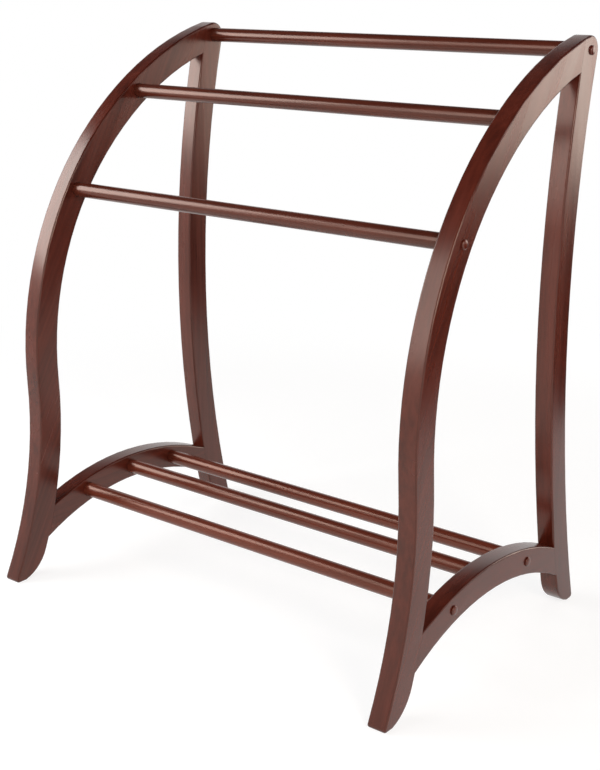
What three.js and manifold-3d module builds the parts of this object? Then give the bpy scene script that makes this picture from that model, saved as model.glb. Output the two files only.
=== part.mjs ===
// Blanket rack: two shaped side frames carry six round rails, three high ones to hang blankets on
// and three low ones as a shelf. Each side frame is a front leg, a rear leg and an arched stretcher,
// glued and pinned together. Screws under button plugs hold four of the rails.
// Millimetres. +X runs across the rack, +Y to its back and +Z up, with the origin on the floor.
import * as THREE from 'three';
import { mergeVertices } from 'three/addons/utils/BufferGeometryUtils.js';
import Module from 'manifold-3d';

const wasm = await Module();
wasm.setup();

// Stock
const OVERALL_WIDTH = 710;
const BOARD_THICKNESS = 27.4;
const LEG_WIDTH = 41.5;
const STRETCHER_WIDTH = 38.5;
const RAIL_DIAMETER = 22.2;
const EDGE_ROUND = 2.4;

// Front leg: its front edge is three tangent arcs. The shin bends forward from the toe, then the
// shoulder and the arm bend back to the top corner. Angles are in degrees.
const TOE_LEAN_ANGLE = 26.9;
const SHIN_RADIUS = 577;
const SHIN_TURN_ANGLE = 30.9;
const SHOULDER_RADIUS = 490;
const SHOULDER_TURN_ANGLE = 46.3;
const ARM_RADIUS = 536;

// Rear leg: its back edge is one long arc, hollow to the back. The waist is where it is nearest the
// front, and its depth is taken from the toe.
const BOW_RADIUS = 1628;
const WAIST_HEIGHT = 406.5;
const WAIST_DEPTH = 438.9;
const TOP_CORNER_RADIUS = 20;

// Feet: each leg's inner edge curves in to a short flat sole.
const FRONT_FOOT_RADIUS = 62;
const REAR_FOOT_RADIUS = 50;
const SOLE_CUT = 2;
const TOE_ROUND = 4;
const HEEL_ROUND = 5;

// Stretcher: the radius is its top edge's. Each rise is how far its underside meets a leg above the
// curve of that leg's foot.
const STRETCHER_RADIUS = 431;
const FRONT_ARCH_RISE = 16.9;
const REAR_ARCH_RISE = 16.2;

// Rails: the pitches run along the middle of the boards.
const UPPER_RAIL_PITCH = 195.5;
const SHELF_RAIL_PITCH = 96.5;
const SOCKET_DEPTH = 12;
const RAIL_CHAMFER = 0.8;

// Screws, button plugs and dowel pins. The pins lie past the outer ends of the rail sockets, by a
// wall of wood.
const SCREW_SHANK_RADIUS = 2.1;
const SCREW_LENGTH = 42;
const SCREW_TIP_LENGTH = 5;
const SCREW_HEAD_RADIUS = 4.1;
const SCREW_HEAD_HEIGHT = 3;
const SCREW_HEAD_RIM = 1.5;
const SCREW_HEAD_TOP_RADIUS = 2.9;
const PLUG_TENON_RADIUS = 4.75;
const PLUG_TENON_LENGTH = 4.6;
const PLUG_CAP_RADIUS = 6.6;
const PLUG_CAP_RIM = 0.7;
const PLUG_CAP_HEIGHT = 3;
const PIN_RADIUS = 4;
const PIN_LENGTH = 32;
const PIN_CHAMFER = 1;
const PIN_WALL = 1;
const STRETCHER_PIN_PITCH = 20;
const TOP_PIN_INSET = 8;
const TOP_PIN_PITCH = 11.5;

// Clearances
const FIT_GAP = 0.3;
const GLUE_GAP = 0.2;
const END_GAP = 0.8;

// How finely curves are cut into flats
const ARC_SAG = 0.18;
const EDGE_STEPS = 2;
const RAIL_SIDES = 28;
const HOLE_SIDES = 18;
const PLUG_SIDES = 18;
const FASTENER_SIDES = 12;
const DOME_STEPS = 3;

// How far a cutter runs past the face it opens
const PAST = 1;

const SOLE_LEVEL = 0;
const COUNTERBORE_DEPTH = SCREW_HEAD_HEIGHT + PLUG_TENON_LENGTH + 2 * FIT_GAP;
const COUNTERBORE_RADIUS = Math.max(SCREW_HEAD_RADIUS, PLUG_TENON_RADIUS) + FIT_GAP;
const PIN_DISTANCE = SOCKET_DEPTH + PIN_WALL + FIT_GAP + PIN_RADIUS;
const RADIANS = Math.PI / 180;

// Side view. A Vector2 holds a depth, towards the back, and a height. A heading is the lean of the
// leg's run from upright, towards the back.
function at(depth, height) {
  return new THREE.Vector2(depth, height);
}

function across(heading) {
  return at(Math.cos(heading), -Math.sin(heading));
}

function from(centre, direction, distance) {
  return direction.clone().setLength(distance).add(centre);
}

// The point on the circle that lies straight out from its centre through another point.
function outThrough(centre, other, radius) {
  return from(centre, other.clone().sub(centre), radius);
}

// Where two circles cross, on the left of the way from the first centre to the second.
function meet(centreA, radiusA, centreB, radiusB) {
  const gap = centreA.distanceTo(centreB);
  const reach = (radiusA ** 2 - radiusB ** 2 + gap ** 2) / (2 * gap);
  const rise = Math.sqrt(radiusA ** 2 - reach ** 2);
  const line = centreB.clone().sub(centreA).divideScalar(gap);
  const foot = line.clone().multiplyScalar(reach).add(centreA);
  return at(-line.y, line.x).multiplyScalar(rise).add(foot);
}

// The point at a given height and distance from a centre, behind it (side 1) or in front (side -1).
function level(centre, distance, height, side) {
  return at(centre.x + side * Math.sqrt(distance ** 2 - (height - centre.y) ** 2), height);
}

// Points along the anticlockwise arc between two points of one circle, both of them included.
function arc(centre, start, end) {
  const radius = centre.distanceTo(start);
  const first = start.clone().sub(centre).angle();
  const last = end.clone().sub(centre).angle();
  const full = 2 * Math.PI;
  const sweep = (last - first + full) % full;
  const steps = Math.ceil(sweep / (2 * Math.acos(1 - ARC_SAG / radius)));
  const points = [];
  for (let i = 0; i <= steps; i += 1) {
    const angle = first + (sweep * i) / steps;
    points.push(at(centre.x + radius * Math.cos(angle), centre.y + radius * Math.sin(angle)));
  }
  return points;
}

function clockwiseArc(centre, start, end) {
  return arc(centre, end, start).reverse();
}

// One closed outline from runs that each start where the last one ended.
function closed(...runs) {
  return runs.flatMap((run) => run.slice(0, -1));
}

// Centres and turning points of the front leg
const shinStart = TOE_LEAN_ANGLE * RADIANS;
const shinEnd = shinStart - SHIN_TURN_ANGLE * RADIANS;
const shoulderEnd = shinEnd + SHOULDER_TURN_ANGLE * RADIANS;
const shinCentre = across(shinStart).multiplyScalar(-SHIN_RADIUS);
const shoulderCentre = from(shinCentre, across(shinEnd), SHIN_RADIUS + SHOULDER_RADIUS);
const armCentre = from(shoulderCentre, across(shoulderEnd), ARM_RADIUS - SHOULDER_RADIUS);

// Where the arcs change, on a line that runs a given width in from the front edge.
function shinTop(width) {
  return from(shinCentre, across(shinEnd), SHIN_RADIUS + width);
}

function shoulderTop(width) {
  return from(shoulderCentre, across(shoulderEnd).negate(), SHOULDER_RADIUS - width);
}

const legBackRadius = SHIN_RADIUS + LEG_WIDTH;
const armUnderRadius = ARM_RADIUS - LEG_WIDTH;

// Rear leg and its rounded top corner
const bowCentre = at(WAIST_DEPTH + BOW_RADIUS, WAIST_HEIGHT);
const rearFrontRadius = BOW_RADIUS + LEG_WIDTH;
const cornerCentre = meet(
  armCentre, ARM_RADIUS - TOP_CORNER_RADIUS, bowCentre, BOW_RADIUS + TOP_CORNER_RADIUS);
const cornerTop = outThrough(armCentre, cornerCentre, ARM_RADIUS);
const cornerBack = outThrough(bowCentre, cornerCentre, BOW_RADIUS);

// Front foot
const toeCentre = level(shinCentre, SHIN_RADIUS + TOE_ROUND, SOLE_LEVEL + TOE_ROUND, 1);
const toeFront = outThrough(shinCentre, toeCentre, SHIN_RADIUS);
const toeSole = at(toeCentre.x, SOLE_LEVEL);
const frontFootCentre = level(
  shinCentre, legBackRadius - FRONT_FOOT_RADIUS, SOLE_LEVEL + FRONT_FOOT_RADIUS - SOLE_CUT, 1);
const frontFootTop = outThrough(shinCentre, frontFootCentre, legBackRadius);
const frontSoleBack = level(frontFootCentre, FRONT_FOOT_RADIUS, SOLE_LEVEL, 1);

// Rear foot
const heelCentre = level(bowCentre, BOW_RADIUS + HEEL_ROUND, SOLE_LEVEL + HEEL_ROUND, -1);
const heelBack = outThrough(bowCentre, heelCentre, BOW_RADIUS);
const heelSole = at(heelCentre.x, SOLE_LEVEL);
const rearFootCentre = level(
  bowCentre, rearFrontRadius - REAR_FOOT_RADIUS, SOLE_LEVEL + REAR_FOOT_RADIUS - SOLE_CUT, -1);
const rearFootTop = outThrough(bowCentre, rearFootCentre, rearFrontRadius);
const rearSoleFront = level(rearFootCentre, REAR_FOOT_RADIUS, SOLE_LEVEL, -1);

// The corners where the boards meet
const frontLow = level(shinCentre, legBackRadius, frontFootTop.y + FRONT_ARCH_RISE, 1);
const rearLow = level(bowCentre, rearFrontRadius, rearFootTop.y + REAR_ARCH_RISE, -1);
const archUnderRadius = STRETCHER_RADIUS - STRETCHER_WIDTH;
const archCentre = meet(rearLow, archUnderRadius, frontLow, archUnderRadius);
const frontHigh = meet(shinCentre, legBackRadius, archCentre, STRETCHER_RADIUS);
const rearHigh = meet(archCentre, STRETCHER_RADIUS, bowCentre, rearFrontRadius);
const topLow = meet(armCentre, armUnderRadius, bowCentre, rearFrontRadius);
const topHigh = meet(armCentre, ARM_RADIUS, bowCentre, rearFrontRadius);

const outside = closed(
  [toeSole, frontSoleBack],
  arc(frontFootCentre, frontSoleBack, frontFootTop),
  arc(shinCentre, frontFootTop, frontLow),
  clockwiseArc(archCentre, frontLow, rearLow),
  arc(bowCentre, rearLow, rearFootTop),
  arc(rearFootCentre, rearFootTop, rearSoleFront),
  [rearSoleFront, heelSole],
  arc(heelCentre, heelSole, heelBack),
  clockwiseArc(bowCentre, heelBack, cornerBack),
  arc(cornerCentre, cornerBack, cornerTop),
  arc(armCentre, cornerTop, shoulderTop(0)),
  arc(shoulderCentre, shoulderTop(0), shinTop(0)),
  clockwiseArc(shinCentre, shinTop(0), toeFront),
  arc(toeCentre, toeFront, toeSole),
);

const opening = closed(
  arc(shinCentre, frontHigh, shinTop(LEG_WIDTH)),
  clockwiseArc(shoulderCentre, shinTop(LEG_WIDTH), shoulderTop(LEG_WIDTH)),
  clockwiseArc(armCentre, shoulderTop(LEG_WIDTH), topLow),
  arc(bowCentre, topLow, rearHigh),
  arc(archCentre, rearHigh, frontHigh),
);

// The rails' places. The top rail sits at the centre of the rounded corner, and the other upper
// rails follow at one pitch down the middle of the arm and the shoulder.
function downTheArm(distance) {
  const middle = LEG_WIDTH / 2;
  const armStart = cornerCentre.clone().sub(armCentre).angle();
  const armEnd = shoulderTop(middle).sub(armCentre).angle();
  const armLength = (armEnd - armStart) * (ARM_RADIUS - middle);
  if (distance <= armLength) {
    const angle = armStart + distance / (ARM_RADIUS - middle);
    return from(armCentre, at(Math.cos(angle), Math.sin(angle)), ARM_RADIUS - middle);
  }
  const angle = armEnd + (distance - armLength) / (SHOULDER_RADIUS - middle);
  return from(shoulderCentre, at(Math.cos(angle), Math.sin(angle)), SHOULDER_RADIUS - middle);
}

// The shelf rails lie down the middle of the stretcher, measured from its crown towards the back.
function alongTheArch(distance) {
  const radius = STRETCHER_RADIUS - STRETCHER_WIDTH / 2;
  const angle = distance / radius;
  return from(archCentre, at(Math.sin(angle), Math.cos(angle)), radius);
}

const RAILS = [
  { name: 'top', place: cornerCentre, screwed: true },
  { name: 'upper_middle', place: downTheArm(UPPER_RAIL_PITCH), screwed: false },
  { name: 'upper_front', place: downTheArm(2 * UPPER_RAIL_PITCH), screwed: true },
  { name: 'rear_shelf', place: alongTheArch(SHELF_RAIL_PITCH), screwed: true },
  { name: 'middle_shelf', place: alongTheArch(0), screwed: false },
  { name: 'front_shelf', place: alongTheArch(-SHELF_RAIL_PITCH), screwed: true },
];

// The glued joints: each is a straight cut between two corners, with two pins across it.
function spotsOn(low, high, first, pitch) {
  const line = high.clone().sub(low);
  return [from(low, line, first), from(low, line, first + pitch)];
}

function middleSpots(low, high) {
  return spotsOn(low, high, (low.distanceTo(high) - STRETCHER_PIN_PITCH) / 2, STRETCHER_PIN_PITCH);
}

function squareTo(low, high) {
  return at(high.y - low.y, low.x - high.x).normalize();
}

// The run of the arch at a joint, towards the back.
function archRun(low, high) {
  const out = low.clone().add(high).divideScalar(2).sub(archCentre);
  return at(out.y, -out.x).normalize();
}

const JOINTS = [
  {
    name: 'top',
    low: topLow,
    high: topHigh,
    run: squareTo(topLow, topHigh),
    spots: spotsOn(topLow, topHigh, TOP_PIN_INSET, TOP_PIN_PITCH),
  },
  {
    name: 'front',
    low: frontLow,
    high: frontHigh,
    run: archRun(frontLow, frontHigh),
    spots: middleSpots(frontLow, frontHigh),
  },
  {
    name: 'rear',
    low: rearLow,
    high: rearHigh,
    run: archRun(rearLow, rearHigh),
    spots: middleSpots(rearLow, rearHigh),
  },
];

// Solids. A board is drawn in side view and stands from its inner face at X = 0 to its outer face.
const SIDE_VIEW = new THREE.Matrix4().makeBasis(
  new THREE.Vector3(0, 1, 0), new THREE.Vector3(0, 0, 1), new THREE.Vector3(1, 0, 0));

function toSolid(geometry) {
  geometry.deleteAttribute('normal');
  geometry.deleteAttribute('uv');
  const merged = mergeVertices(geometry);
  return new wasm.Manifold(new wasm.Mesh({
    numProp: 3,
    vertProperties: new Float32Array(merged.attributes.position.array),
    triVerts: new Uint32Array(merged.index.array),
  }));
}

function toGeometry(solid) {
  const mesh = solid.getMesh();
  const geometry = new THREE.BufferGeometry();
  geometry.setAttribute('position', new THREE.BufferAttribute(mesh.vertProperties, 3));
  geometry.setIndex(new THREE.BufferAttribute(mesh.triVerts, 1));
  geometry.computeVertexNormals();
  return geometry;
}

// The same geometry for the other side: X turns over, and so does the order of each face's corners.
function mirrored(geometry) {
  const copy = geometry.clone();
  const position = copy.attributes.position;
  const index = copy.index;
  for (let i = 0; i < position.count; i += 1) {
    position.setX(i, -position.getX(i));
  }
  for (let i = 0; i < index.count; i += 3) {
    const second = index.getX(i + 1);
    index.setX(i + 1, index.getX(i + 2));
    index.setX(i + 2, second);
  }
  copy.computeVertexNormals();
  return copy;
}

// A plain slab of a side-view outline that runs past both faces of a board.
function slab(points) {
  const geometry = new THREE.ExtrudeGeometry(new THREE.Shape(points), {
    depth: BOARD_THICKNESS + 2 * PAST,
    bevelEnabled: false,
    steps: 1,
  });
  geometry.translate(0, 0, -PAST);
  geometry.applyMatrix4(SIDE_VIEW);
  return toSolid(geometry);
}

// A cutter along X, from one distance to another above the inner face.
function bore(place, radius, start, end) {
  const geometry = new THREE.CylinderGeometry(radius, radius, end - start, HOLE_SIDES);
  geometry.rotateZ(-Math.PI / 2);
  geometry.translate((start + end) / 2, place.x, place.y);
  return toSolid(geometry);
}

function pinBore(spot, run) {
  const radius = PIN_RADIUS + FIT_GAP;
  const geometry = new THREE.CylinderGeometry(radius, radius, PIN_LENGTH + 2 * END_GAP, HOLE_SIDES);
  geometry.rotateX(Math.atan2(run.y, run.x));
  geometry.translate(PIN_DISTANCE, spot.x, spot.y);
  return toSolid(geometry);
}

function glueLine(joint) {
  const line = joint.high.clone().sub(joint.low).normalize();
  const half = squareTo(joint.low, joint.high).multiplyScalar(GLUE_GAP / 2);
  const low = joint.low.clone().sub(line);
  const high = joint.high.clone().add(line);
  return slab([
    low.clone().sub(half), low.clone().add(half), high.clone().add(half), high.clone().sub(half),
  ]);
}

// The whole side frame as one eased board with its opening, drilled for rails, screws and pins.
function drilledFrame() {
  const shape = new THREE.Shape(outside);
  shape.holes.push(new THREE.Path(opening));
  const geometry = new THREE.ExtrudeGeometry(shape, {
    depth: BOARD_THICKNESS - 2 * EDGE_ROUND,
    bevelThickness: EDGE_ROUND,
    bevelSize: EDGE_ROUND,
    bevelOffset: -EDGE_ROUND,
    bevelSegments: EDGE_STEPS,
    steps: 1,
  });
  geometry.translate(0, 0, EDGE_ROUND);
  geometry.applyMatrix4(SIDE_VIEW);
  let frame = toSolid(geometry);
  for (const rail of RAILS) {
    frame = frame.subtract(bore(rail.place, RAIL_DIAMETER / 2 + FIT_GAP, -PAST, SOCKET_DEPTH));
    if (rail.screwed) {
      const floor = BOARD_THICKNESS - COUNTERBORE_DEPTH;
      const radius = SCREW_SHANK_RADIUS + FIT_GAP;
      frame = frame.subtract(bore(rail.place, radius, SOCKET_DEPTH - PAST, floor + PAST));
      frame = frame.subtract(bore(rail.place, COUNTERBORE_RADIUS, floor, BOARD_THICKNESS + PAST));
    }
  }
  for (const joint of JOINTS) {
    frame = frame.subtract(glueLine(joint));
    for (const spot of joint.spots) {
      frame = frame.subtract(pinBore(spot, joint.run));
    }
  }
  return frame;
}

// The frame comes apart into its three boards along the glue lines. Each region's border runs
// through the joints and the middle of the opening, and well outside the frame elsewhere.
function boards() {
  const frame = drilledFrame();
  const box = new THREE.Box2().setFromPoints(outside).expandByScalar(LEG_WIDTH);
  const heart = opening.reduce((sum, p) => sum.add(p), at(0, 0)).divideScalar(opening.length);
  const topUp = from(topLow, topHigh.clone().sub(topLow), box.max.y);
  const frontDown = at(frontLow.x, box.min.y);
  const rearDown = at(rearLow.x, box.min.y);
  const regions = {
    front_leg: [
      at(box.min.x, box.min.y), frontDown, frontLow, frontHigh, heart, topLow, topHigh, topUp,
      at(box.min.x, topUp.y),
    ],
    arch_stretcher: [frontDown, rearDown, rearLow, rearHigh, heart, frontHigh, frontLow],
    rear_leg: [
      rearDown, at(2 * box.max.x, box.min.y), at(2 * box.max.x, topUp.y), topUp, topHigh, topLow,
      heart, rearHigh, rearLow,
    ],
  };
  return Object.entries(regions).map(([name, region]) => (
    { name, geometry: toGeometry(frame.intersect(slab(region))) }));
}

// Turned pieces: each profile is a list of radius and distance along the axis.
function turned(profile, sides) {
  const points = profile.map(([radius, along]) => new THREE.Vector2(radius, along));
  const geometry = new THREE.LatheGeometry(points, sides);
  geometry.rotateZ(-Math.PI / 2);
  return geometry;
}

const railLength = OVERALL_WIDTH - 2 * (BOARD_THICKNESS - SOCKET_DEPTH + FIT_GAP);
const webThickness = BOARD_THICKNESS - SOCKET_DEPTH - COUNTERBORE_DEPTH;

function railGeometry(screwed) {
  const radius = RAIL_DIAMETER / 2;
  const end = railLength / 2;
  const pilot = SCREW_LENGTH - webThickness - 2 * FIT_GAP + END_GAP;
  const pilotRadius = SCREW_SHANK_RADIUS + FIT_GAP;
  const plainEnd = [[0, -end]];
  const boredEnd = [[0, pilot - end], [pilotRadius, pilot - end], [pilotRadius, -end]];
  const low = screwed ? boredEnd : plainEnd;
  const high = low.map(([r, along]) => [r, -along]).reverse();
  const body = [
    [radius - RAIL_CHAMFER, -end], [radius, RAIL_CHAMFER - end],
    [radius, end - RAIL_CHAMFER], [radius - RAIL_CHAMFER, end],
  ];
  return turned([...low, ...body, ...high], RAIL_SIDES);
}

// The screw points inwards from the seat of its head at zero, and the head stands above it.
function screwGeometry() {
  return turned([
    [0, -SCREW_LENGTH],
    [SCREW_SHANK_RADIUS, SCREW_TIP_LENGTH - SCREW_LENGTH],
    [SCREW_SHANK_RADIUS, 0],
    [SCREW_HEAD_RADIUS, 0],
    [SCREW_HEAD_RADIUS, SCREW_HEAD_RIM],
    [SCREW_HEAD_TOP_RADIUS, SCREW_HEAD_HEIGHT],
    [0, SCREW_HEAD_HEIGHT],
  ], FASTENER_SIDES);
}

// A tenon below zero and a cap above it: a low rim, then a dome that is a slice of a ball.
function plugGeometry() {
  const rise = PLUG_CAP_HEIGHT - PLUG_CAP_RIM;
  const ball = (PLUG_CAP_RADIUS ** 2 + rise ** 2) / (2 * rise);
  const edge = Math.asin(PLUG_CAP_RADIUS / ball);
  const profile = [
    [0, -PLUG_TENON_LENGTH], [PLUG_TENON_RADIUS, -PLUG_TENON_LENGTH],
    [PLUG_TENON_RADIUS, 0], [PLUG_CAP_RADIUS, 0],
  ];
  for (let i = 0; i < DOME_STEPS; i += 1) {
    const angle = edge * (1 - i / DOME_STEPS);
    profile.push([ball * Math.sin(angle), PLUG_CAP_HEIGHT - ball * (1 - Math.cos(angle))]);
  }
  profile.push([0, PLUG_CAP_HEIGHT]);
  return turned(profile, PLUG_SIDES);
}

function pinGeometry() {
  const end = PIN_LENGTH / 2;
  return turned([
    [0, -end], [PIN_RADIUS - PIN_CHAMFER, -end], [PIN_RADIUS, PIN_CHAMFER - end],
    [PIN_RADIUS, end - PIN_CHAMFER], [PIN_RADIUS - PIN_CHAMFER, end], [0, end],
  ], FASTENER_SIDES);
}

const boardWood = new THREE.MeshStandardMaterial({ color: 0x5a2d22, roughness: 0.42, metalness: 0 });
const railWood = new THREE.MeshStandardMaterial({ color: 0x6b3526, roughness: 0.38, metalness: 0 });
const plugWood = new THREE.MeshStandardMaterial({ color: 0x54281e, roughness: 0.4, metalness: 0 });
const pinWood = new THREE.MeshStandardMaterial({ color: 0xc9a878, roughness: 0.7, metalness: 0 });
const steel = new THREE.MeshStandardMaterial({ color: 0x9a9a98, roughness: 0.35, metalness: 1 });

const rack = new THREE.Group();
const footprint = new THREE.Box2().setFromPoints(outside);
rack.position.y = -(footprint.min.x + footprint.max.x) / 2;

function add(name, geometry, material) {
  const mesh = new THREE.Mesh(geometry, material);
  mesh.name = name;
  rack.add(mesh);
  return mesh;
}

const innerFace = OVERALL_WIDTH / 2 - BOARD_THICKNESS;
const SIDES = [{ name: 'right', sign: 1 }, { name: 'left', sign: -1 }];

for (const board of boards()) {
  for (const side of SIDES) {
    const geometry = side.sign > 0 ? board.geometry : mirrored(board.geometry);
    add(`${board.name}_${side.name}`, geometry, boardWood).position.x = side.sign * innerFace;
  }
}

for (const rail of RAILS) {
  add(`${rail.name}_rail`, railGeometry(rail.screwed), railWood)
    .position.set(0, rail.place.x, rail.place.y);
}

// A fastener that points across the rack, its axis at a rail and its own zero at a distance from
// the inner face.
function addCrosswise(name, geometry, material, rail, side, distance) {
  const mesh = add(name, geometry, material);
  mesh.position.set(side.sign * (innerFace + distance), rail.place.x, rail.place.y);
  mesh.rotation.z = side.sign > 0 ? 0 : Math.PI;
}

const screwSeat = BOARD_THICKNESS - COUNTERBORE_DEPTH + FIT_GAP;
for (const rail of RAILS.filter(({ screwed }) => screwed)) {
  for (const side of SIDES) {
    addCrosswise(
      `rail_screw_${rail.name}_${side.name}`, screwGeometry(), steel, rail, side, screwSeat);
    addCrosswise(
      `button_plug_${rail.name}_${side.name}`, plugGeometry(), plugWood, rail, side,
      BOARD_THICKNESS + FIT_GAP);
  }
}

for (const joint of JOINTS) {
  for (const side of SIDES) {
    joint.spots.forEach((spot, i) => {
      const spotName = i > 0 ? 'high' : 'low';
      const mesh = add(`dowel_pin_${joint.name}_${spotName}_${side.name}`, pinGeometry(), pinWood);
      mesh.position.set(side.sign * (innerFace + PIN_DISTANCE), spot.x, spot.y);
      mesh.rotation.z = Math.PI / 2;
      mesh.rotation.x = Math.atan2(joint.run.y, joint.run.x);
    });
  }
}

export default rack;
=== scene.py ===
"""Blanket rack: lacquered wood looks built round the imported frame. Metres, in the frame's own axes."""

import math

import bmesh
import bpy
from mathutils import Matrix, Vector


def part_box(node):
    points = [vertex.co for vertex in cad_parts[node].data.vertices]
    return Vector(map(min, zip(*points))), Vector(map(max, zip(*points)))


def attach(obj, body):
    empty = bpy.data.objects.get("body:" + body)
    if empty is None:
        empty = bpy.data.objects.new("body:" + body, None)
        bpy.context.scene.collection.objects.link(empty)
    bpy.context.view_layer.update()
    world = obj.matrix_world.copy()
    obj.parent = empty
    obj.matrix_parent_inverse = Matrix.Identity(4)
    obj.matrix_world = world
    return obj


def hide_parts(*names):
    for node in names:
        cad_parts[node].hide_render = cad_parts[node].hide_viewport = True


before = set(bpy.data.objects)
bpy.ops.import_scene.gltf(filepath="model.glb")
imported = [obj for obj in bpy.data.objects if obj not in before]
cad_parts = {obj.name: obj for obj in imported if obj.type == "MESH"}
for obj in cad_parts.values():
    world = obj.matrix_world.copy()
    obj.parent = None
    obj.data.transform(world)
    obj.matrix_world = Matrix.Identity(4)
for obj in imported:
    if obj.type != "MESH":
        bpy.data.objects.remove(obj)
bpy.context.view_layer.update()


# Objects
def add_object(name, data):
    thing = bpy.data.objects.new(name, data)
    bpy.context.scene.collection.objects.link(thing)
    return thing


def aim(thing, way):
    """Points a camera or a lamp along a direction, upright."""
    thing.rotation_mode = "QUATERNION"
    thing.rotation_quaternion = way.to_track_quat("-Z", "Y")


def paint(mesh, look):
    mesh.materials.clear()
    mesh.materials.append(look)


# Camera, at the photograph's angle. The picture is 770 pixels high, its long side, which the sensor's
# size belongs to. The small shift centres the rack, and leaves it whole in the other views.
PICTURE_HEIGHT = 770
CAMERA_PLACE = (1.2178, -1.4972, 0.9194)
CAMERA_AZIMUTH = 38.45
CAMERA_ELEVATION = 13.385
FOCAL_PIXELS = 1377.3
SENSOR = 36.0
SHIFT_UP = -0.12
NEAREST_SEEN = 0.05


def make_camera():
    data = bpy.data.cameras.new("camera")
    data.sensor_width = SENSOR
    data.lens = FOCAL_PIXELS / PICTURE_HEIGHT * SENSOR
    data.shift_y = SHIFT_UP
    data.clip_start = NEAREST_SEEN
    camera = add_object("camera", data)
    camera.location = CAMERA_PLACE
    turn = math.radians(CAMERA_AZIMUTH)
    tilt = math.radians(CAMERA_ELEVATION)
    level = math.cos(tilt)
    aim(camera, Vector((-math.sin(turn) * level, math.cos(turn) * level, -math.sin(tilt))))
    bpy.context.scene.camera = camera


# Node trees
class Tree:
    """The nodes of a material or a world, added one at a time from their inputs."""

    def __init__(self, owner):
        owner.use_nodes = True
        self.nodes = owner.node_tree.nodes
        self.links = owner.node_tree.links
        self.nodes.clear()

    def feed(self, socket, value):
        if isinstance(value, bpy.types.NodeSocket):
            self.links.new(value, socket)
        else:
            socket.default_value = value

    def add(self, kind, inputs=None, **settings):
        node = self.nodes.new("ShaderNode" + kind)
        for key, value in settings.items():
            setattr(node, key, value)
        for key, value in (inputs or {}).items():
            self.feed(node.inputs[key], value)
        return node

    def coordinates(self, kind):
        return self.add("TexCoord").outputs[kind]

    def math(self, operation, *values):
        return self.add("Math", dict(enumerate(values)), operation=operation).outputs[0]

    def weigh(self, first, first_share, second, second_share):
        """The sum of two values, each times its share."""
        scaled = self.math("MULTIPLY", first, first_share)
        return self.math("ADD", scaled, self.math("MULTIPLY", second, second_share))

    def noise(self, vector, scale, detail=2.0, roughness=0.5):
        inputs = {"Vector": vector, "Scale": scale, "Detail": detail, "Roughness": roughness}
        return self.add("TexNoise", inputs).outputs["Fac"]

    def ease(self, value, low, high, to_low=0.0, to_high=1.0):
        inputs = {0: value, 1: low, 2: high, 3: to_low, 4: to_high}
        return self.add("MapRange", inputs, interpolation_type="SMOOTHSTEP").outputs[0]

    def colours(self, value, *stops):
        node = self.add("ValToRGB", {0: value})
        ramp = node.color_ramp
        while len(ramp.elements) < len(stops):
            ramp.elements.new(0.5)
        for element, (place, colour) in zip(ramp.elements, stops):
            element.position = place
            element.color = (*colour, 1.0)
        return node.outputs[0]

    def tint(self, share, base, colour):
        """A colour blended by some share towards a plain one, through the Mix node's colour sockets."""
        node = self.add("Mix", {0: share}, data_type="RGBA")
        self.feed(node.inputs[6], base)
        self.feed(node.inputs[7], (*colour, 1.0))
        return node.outputs[2]

    def mix_shaders(self, share, first, second):
        return self.add("MixShader", {0: share, 1: first.outputs[0], 2: second.outputs[0]})

    def finish(self, kind, shader):
        self.add("Output" + kind, {"Surface": shader.outputs[0]})


# Wood: reddish-brown stain in dark, middle and light, under a satin lacquer that warms its own sheen
STAIN = {
    "board": ((0.048, 0.0070, 0.0035), (0.074, 0.0112, 0.0055), (0.104, 0.0180, 0.0097)),
    "rail": ((0.052, 0.0092, 0.0046), (0.075, 0.0140, 0.0070), (0.100, 0.0215, 0.0115)),
    # The shelf rails are given paler, more orange colours than the upper rails.
    "shelf": ((0.082, 0.0147, 0.0075), (0.117, 0.0222, 0.0112), (0.155, 0.0330, 0.0175)),
    "plug": ((0.068, 0.0104, 0.0052), (0.100, 0.0166, 0.0084), (0.134, 0.0262, 0.0144)),
}
SHEEN_TINT = {
    "board": (1.0, 0.82, 0.72, 1.0),
    "rail": (1.0, 0.72, 0.60, 1.0),
    "shelf": (1.0, 0.68, 0.54, 1.0),
    "plug": (1.0, 0.85, 0.75, 1.0),
}

# Grain. A scale is in patterns per metre. All but the clouds are drawn out along the grain. A pattern's
# detail is its count of finer layers, and its breakup is how much each finer layer shows.
DRAWN_OUT = (1.0, 1.0, 0.045)
FIGURE_SCALE = 34.0
FIGURE_DETAIL = 3.0
FIGURE_BREAKUP = 0.55
FINE_DETAIL = 1.0
STREAK_SCALE = 150.0
FIBRE_SCALE = 800.0
CLOUD_SCALE = 9.0
FIGURE_SHARE = 0.55
STREAK_SHARE = 0.45
STAIN_STOPS = (0.38, 0.51, 0.72)
PORE_RANGE = (0.56, 0.74)
PORE_SHARE = 0.4
CLOUD_RANGE = (0.35, 0.75)
CLOUD_SHARE = 0.35
SEED_OFFSET = Vector((1.7, 0.9, 2.3))

# Painted shade: the wood is darkened towards its dark stain on eased edges, more in some places than in
# others.
EASED_RANGE = (0.06, 0.22)
EDGE_SHADE_CLOUD_RANGE = (0.35, 0.65)
EDGE_SHADE_SHARES = (0.35, 0.75)

# Lacquer
LACQUER_SCALE = 75.0
STREAK_HEIGHT = 0.1
LACQUER_HEIGHT = 0.5
BUMP_STRENGTH = 0.12
BUMP_DISTANCE = 0.0004
GLOSS_RANGE = (0.3, 0.7)
LACQUER_ROUGHNESS = (0.22, 0.28)
LACQUER_IOR = 1.56


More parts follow.
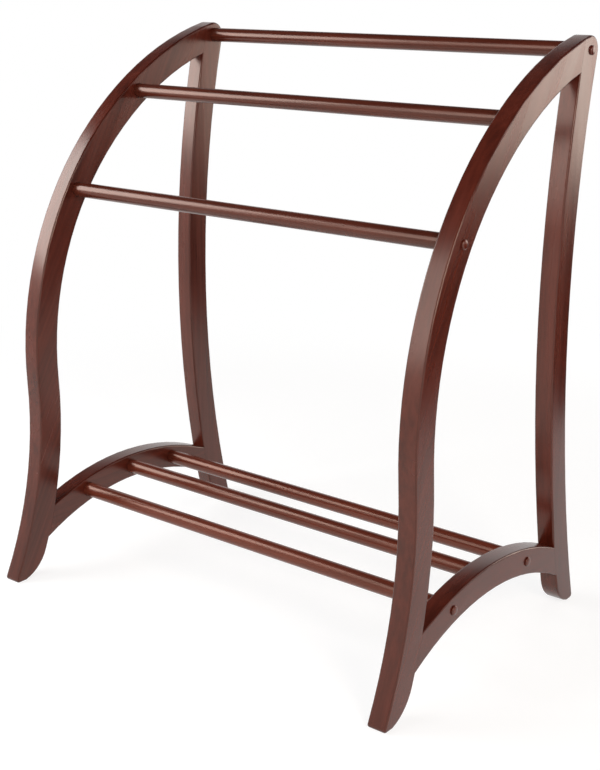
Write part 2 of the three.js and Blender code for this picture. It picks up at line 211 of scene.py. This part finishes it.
def stained(tree, figure, streaks, fibres, clouds, tone):
    """The wood's colour: stain over the grain, darker in the pores and paler in soft clouds."""
    dark, middle, light = STAIN[tone]
    grain = tree.weigh(figure, FIGURE_SHARE, streaks, STREAK_SHARE)
    base = tree.colours(grain, *zip(STAIN_STOPS, (dark, middle, light)))
    pores = tree.math("MULTIPLY", tree.ease(fibres, *PORE_RANGE), PORE_SHARE)
    base = tree.tint(pores, base, dark)
    return tree.tint(tree.ease(clouds, *CLOUD_RANGE, 0.0, CLOUD_SHARE), base, light)


def painted_edge_shade(tree, clouds):
    """How much painted shade darkens the wood: most where a surface is halfway from a board's side to
    its edge.
    """
    sideways = tree.add("SeparateXYZ", {0: tree.coordinates("Normal")}).outputs["X"]
    square = tree.math("MULTIPLY", sideways, sideways)
    eased = tree.math("MULTIPLY", square, tree.math("SUBTRACT", 1.0, square))
    share = tree.ease(clouds, *EDGE_SHADE_CLOUD_RANGE, *EDGE_SHADE_SHARES)
    return tree.math("MULTIPLY", tree.ease(eased, *EASED_RANGE), share)


def lacquered_wood(name, tone, grain, seed):
    """Stained wood whose grain runs along the direction given."""
    material = bpy.data.materials.new(name)
    tree = Tree(material)
    place = tree.coordinates("Object")
    turn = Vector(grain).normalized().rotation_difference(Vector((0, 0, 1))).to_euler()
    turned = {"Vector": place, "Rotation": turn, "Location": seed * SEED_OFFSET}
    along = tree.add("Mapping", turned).outputs[0]
    drawn = tree.add("Mapping", {"Vector": along, "Scale": DRAWN_OUT}).outputs[0]

    figure = tree.noise(drawn, FIGURE_SCALE, FIGURE_DETAIL, FIGURE_BREAKUP)
    streaks = tree.noise(drawn, STREAK_SCALE)
    fibres = tree.noise(drawn, FIBRE_SCALE, FINE_DETAIL)
    clouds = tree.noise(place, CLOUD_SCALE)
    base = stained(tree, figure, streaks, fibres, clouds, tone)
    # Painted shade along the eased edges, in the dark stain.
    base = tree.tint(painted_edge_shade(tree, clouds), base, STAIN[tone][0])

    lacquer = tree.noise(place, LACQUER_SCALE, FINE_DETAIL)
    height = tree.weigh(streaks, STREAK_HEIGHT, lacquer, LACQUER_HEIGHT)
    relief = {"Height": height, "Strength": BUMP_STRENGTH, "Distance": BUMP_DISTANCE}
    tree.finish("Material", tree.add("BsdfPrincipled", {
        "Base Color": base,
        "Roughness": tree.ease(figure, *GLOSS_RANGE, *LACQUER_ROUGHNESS),
        "Normal": tree.add("Bump", relief).outputs[0],
        "IOR": LACQUER_IOR,
        "Specular Tint": SHEEN_TINT[tone],
    }))
    return material


# Boards and rails: the CAD meshes, welded and shaded smoothly. Each grain is a direction in the frame,
# and each side's number is its way out along X.
SHARP_ANGLE = math.radians(51)
WELD_DISTANCE = 1e-6
FACE_WEIGHT = 100
GRAINS = {
    "front_leg": (0, 0.50, 0.87),
    "rear_leg": (0, 0, 1),
    "arch_stretcher": (0, 1, 0),
}
RAIL_GRAIN = (1, 0, 0)
PLUG_GRAIN = (0, 1, 0)
RAILS = ("top", "upper_middle", "upper_front", "rear_shelf", "middle_shelf", "front_shelf")
SIDES = {"right": 1, "left": -1}
FIRST_BOARD_SEED = 1
FIRST_RAIL_SEED = 10


def shade_smooth(work):
    for face in work.faces:
        face.smooth = True
    for edge in work.edges:
        edge.smooth = len(edge.link_faces) == 2 and edge.calc_face_angle() < SHARP_ANGLE


def dress(piece, node, look):
    """Puts a look on a piece that stands for a CAD node."""
    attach(piece, "root")
    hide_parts(node)
    paint(piece.data, look)


def smooth_copy(node):
    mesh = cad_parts[node].data.copy()
    mesh.name = node + "_look"
    if "custom_normal" in mesh.attributes:
        mesh.attributes.remove(mesh.attributes["custom_normal"])
    work = bmesh.new()
    work.from_mesh(mesh)
    bmesh.ops.remove_doubles(work, verts=work.verts, dist=WELD_DISTANCE)
    shade_smooth(work)
    work.to_mesh(mesh)
    work.free()
    piece = add_object(node + "_wood", mesh)
    weighted = piece.modifiers.new("weighted", "WEIGHTED_NORMAL")
    weighted.keep_sharp = True
    weighted.weight = FACE_WEIGHT
    return piece


def make_boards():
    seed = FIRST_BOARD_SEED
    for part, grain in GRAINS.items():
        for side in SIDES:
            node = f"{part}_{side}"
            look = lacquered_wood(node + "_lacquer", "board", grain, seed)
            dress(smooth_copy(node), node, look)
            seed += 1


def make_rails():
    for seed, rail in enumerate(RAILS, FIRST_RAIL_SEED):
        node = rail + "_rail"
        tone = "shelf" if rail.endswith("shelf") else "rail"
        look = lacquered_wood(node + "_lacquer", tone, RAIL_GRAIN, seed)
        dress(smooth_copy(node), node, look)


# Button plugs, turned finer than the CAD ones and within their bounds. A power under 1 gives the dome
# a flat crown and a full shoulder.
CAP_RADIUS = 0.0066
CAP_HEIGHT = 0.0030
RIM_HEIGHT = 0.0007
TENON_RADIUS = 0.00475
PLUG_SIDES = 48
DOME_STEPS = 12
DOME_POWER = 0.8
ON_AXIS = 1e-7
PLUGGED_RAILS = ("top", "upper_front", "rear_shelf", "front_shelf")
PLUG_SEED = 40


def plug_profile(reach):
    """Radii and places along the axis: a tenon, a low rim and a dome."""
    rim = reach - CAP_HEIGHT
    profile = [(0.0, 0.0), (TENON_RADIUS, 0.0), (TENON_RADIUS, rim), (CAP_RADIUS, rim)]
    dome_height = CAP_HEIGHT - RIM_HEIGHT
    for step in range(DOME_STEPS + 1):
        turn = math.pi / 2 * step / DOME_STEPS
        out = math.cos(turn) ** DOME_POWER
        up = math.sin(turn) ** DOME_POWER
        profile.append((CAP_RADIUS * out, rim + RIM_HEIGHT + dome_height * up))
    return profile


def ring_of_points(work, radius, along):
    """A circle of points round the X axis, or a single point where it has no radius."""
    if radius < ON_AXIS:
        return [work.verts.new((along, 0, 0))]
    turns = [2 * math.pi * step / PLUG_SIDES for step in range(PLUG_SIDES)]
    return [work.verts.new((along, radius * math.cos(a), radius * math.sin(a))) for a in turns]


def plug_mesh(outward, reach):
    """A turned button with its back at 0 on the X axis."""
    work = bmesh.new()
    rings = [ring_of_points(work, radius, outward * along) for radius, along in plug_profile(reach)]
    for inner, outer in zip(rings, rings[1:]):
        for step in range(PLUG_SIDES):
            after = (step + 1) % PLUG_SIDES
            corners = [inner[step % len(inner)], inner[after % len(inner)]]
            corners += [outer[after % len(outer)], outer[step % len(outer)]]
            work.faces.new(list(dict.fromkeys(corners)))
    bmesh.ops.recalc_face_normals(work, faces=work.faces)
    shade_smooth(work)
    mesh = bpy.data.meshes.new("button_plug_look")
    work.to_mesh(mesh)
    work.free()
    return mesh


def make_plugs():
    look = lacquered_wood("plug_lacquer", "plug", PLUG_GRAIN, PLUG_SEED)
    for side, outward in SIDES.items():
        for rail in PLUGGED_RAILS:
            node = f"button_plug_{rail}_{side}"
            low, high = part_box(node)
            piece = add_object(node + "_wood", plug_mesh(outward, high.x - low.x))
            back = low.x if outward > 0 else high.x
            piece.location = (back, (low.y + high.y) / 2, (low.z + high.z) / 2)
            dress(piece, node, look)


# Bare parts inside the joints
BEECH = ((0.42, 0.27, 0.14), (0.56, 0.38, 0.22))
ZINC = ((0.44, 0.45, 0.46), (0.56, 0.56, 0.56))
MOTTLE_STOPS = (0.35, 0.65)
MOTTLE_RANGE = (0.3, 0.7)
MOTTLE_DETAIL = 4.0
MOTTLE_BREAKUP = 0.6
MOTTLE_ROUGHNESS = 0.12


def mottled(name, colours, metal, rough, scale):
    material = bpy.data.materials.new(name)
    tree = Tree(material)
    mottle = tree.noise(tree.coordinates("Object"), scale, MOTTLE_DETAIL, MOTTLE_BREAKUP)
    tree.finish("Material", tree.add("BsdfPrincipled", {
        "Base Color": tree.colours(mottle, *zip(MOTTLE_STOPS, colours)),
        "Metallic": metal,
        "Roughness": tree.ease(mottle, *MOTTLE_RANGE, rough, rough + MOTTLE_ROUGHNESS),
    }))
    return material


def dress_hidden_parts():
    looks = {
        "dowel_pin": mottled("bare_beech", BEECH, metal=0.0, rough=0.6, scale=300.0),
        "rail_screw": mottled("zinc_plate", ZINC, metal=1.0, rough=0.3, scale=900.0),
    }
    for name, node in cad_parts.items():
        for part, look in looks.items():
            if name.startswith(part):
                paint(node.data, look)


# World: a white backdrop that rises towards the back, under a dim ceiling
WHITE = (1, 1, 1, 1)
SOFT_LIGHT = 0.76
CEILING_START = 0.15
CEILING_FULL = 0.42
CEILING_GREY = 0.06
BACKDROP_RISE = 0.30


def background_rays(tree):
    """1 for rays that show the background: the camera's, and those reflected or let through."""
    path = tree.add("LightPath").outputs
    bounced = tree.math("MAXIMUM", path["Is Glossy Ray"], path["Is Transmission Ray"])
    return tree.math("MAXIMUM", path["Is Camera Ray"], bounced)


def make_world():
    """Soft light all round, white wherever the camera looks, and a dim ceiling in reflections."""
    world = bpy.data.worlds.new("studio")
    bpy.context.scene.world = world
    tree = Tree(world)
    way = tree.add("SeparateXYZ", {0: tree.coordinates("Generated")}).outputs
    rise = tree.math("MULTIPLY", tree.math("MAXIMUM", way["Y"], 0.0), BACKDROP_RISE)
    height = tree.math("SUBTRACT", way["Z"], rise)
    backdrop = tree.ease(height, CEILING_START, CEILING_FULL, 1.0, CEILING_GREY)
    in_view = tree.math("MAXIMUM", backdrop, tree.add("LightPath").outputs["Is Camera Ray"])
    light = tree.math("MULTIPLY", backdrop, SOFT_LIGHT)
    soft = tree.add("Background", {"Color": WHITE, "Strength": light})
    white = tree.add("Background", {"Color": WHITE, "Strength": in_view})
    tree.finish("World", tree.mix_shaders(background_rays(tree), soft, white))


# Floor. Up to the first distance from its middle it is shown white in part, so that the shadow stays,
# and at a strength that makes up for the greyer lit part. From the second distance on it is all white.
FLOOR_SIZE = 60.0
FLOOR_COLOUR = (0.95, 0.95, 0.95, 1)
WHITE_FLOOR = (1.0, 1.7)
NEAR_SHARE = 0.70
NEAR_STRENGTH = 1.13


def make_floor():
    """A pale floor that keeps the shadow near the rack and is shown white away from it."""
    mesh = bpy.data.meshes.new("floor")
    half = FLOOR_SIZE / 2
    corners = [(-half, -half, 0), (half, -half, 0), (half, half, 0), (-half, half, 0)]
    mesh.from_pydata(corners, [], [(0, 1, 2, 3)])
    floor = add_object("floor", mesh)
    material = bpy.data.materials.new("floor")
    tree = Tree(material)
    place = tree.coordinates("Object")
    reach = tree.add("VectorMath", {0: place}, operation="LENGTH").outputs["Value"]
    share = tree.ease(reach, *WHITE_FLOOR, NEAR_SHARE, 1.0)
    lit = tree.add("BsdfDiffuse", {"Color": FLOOR_COLOUR})
    strength = tree.ease(reach, *WHITE_FLOOR, NEAR_STRENGTH, 1.0)
    white = tree.add("Emission", {"Color": WHITE, "Strength": strength})
    shown = tree.math("MULTIPLY", share, background_rays(tree))
    tree.finish("Material", tree.mix_shaders(shown, lit, white))
    paint(mesh, material)


# Part of a ring of dark floor that only reflections show, as they show a studio's unlit floor. It
# runs between two turns from the X axis, and lies just over the pale floor.
RING_REACH = (1.25, 9.0)
RING_FROM = math.radians(22)
RING_TO = math.radians(76)
RING_STEPS = 48
RING_LEVEL = 0.001
RING_COLOUR = (0.02, 0.02, 0.02, 1)


def make_dark_ring():
    mesh = bpy.data.meshes.new("dark_ring")
    step_size = (RING_TO - RING_FROM) / RING_STEPS
    turns = [RING_FROM + step_size * step for step in range(RING_STEPS + 1)]
    points = [(r * math.cos(a), r * math.sin(a), RING_LEVEL) for r in RING_REACH for a in turns]
    outer = len(turns)
    faces = [(step, outer + step, outer + step + 1, step + 1) for step in range(RING_STEPS)]
    mesh.from_pydata(points, [], faces)
    ring = add_object("dark_ring", mesh)
    material = bpy.data.materials.new("dark_ring")
    tree = Tree(material)
    tree.finish("Material", tree.add("BsdfDiffuse", {"Color": RING_COLOUR}))
    paint(mesh, material)
    ring.visible_camera = False
    ring.visible_diffuse = False
    ring.visible_transmission = False
    ring.visible_shadow = False


# Lamps: name, place, point aimed at, size, power, colour and whether reflections show it
NEUTRAL = (1.0, 1.0, 1.0)
WARM = (1.0, 0.87, 0.77)
LAMPS = (
    ("key_left", (-1.40, -0.85, 1.25), (0, 0, 0.50), (1.05, 1.0), 24.0, NEUTRAL, True),
    ("key_front", (-0.45, -1.50, 1.23), (0, 0, 0.50), (0.8, 1.1), 9.2, NEUTRAL, True),
    ("backdrop_glow", (2.03, 3.80, 0.90), (0.355, 0.1, 0.8), (1.3, 1.7), 28.0, WARM, True),
    ("edge_light", (2.0, -0.90, 1.45), (0.355, -0.05, 0.5), (0.7, 1.2), 31.0, WARM, True),
    ("rear_fill", (-0.30, 2.80, 0.90), (0, 0.2, 0.45), (1.2, 1.2), 18.0, NEUTRAL, False),
)


def make_lamps():
    for name, place, target, size, power, colour, mirrored in LAMPS:
        data = bpy.data.lights.new(name, "AREA")
        data.shape = "RECTANGLE"
        data.size, data.size_y = size
        data.energy = power
        data.color = colour
        lamp = add_object(name, data)
        lamp.location = place
        aim(lamp, Vector(target) - Vector(place))
        lamp.visible_camera = False
        lamp.visible_glossy = mirrored


make_camera()
make_boards()
make_rails()
make_plugs()
dress_hidden_parts()
make_world()
make_floor()
make_dark_ring()
make_lamps()
bpy.context.scene.view_settings.view_transform = "Standard"
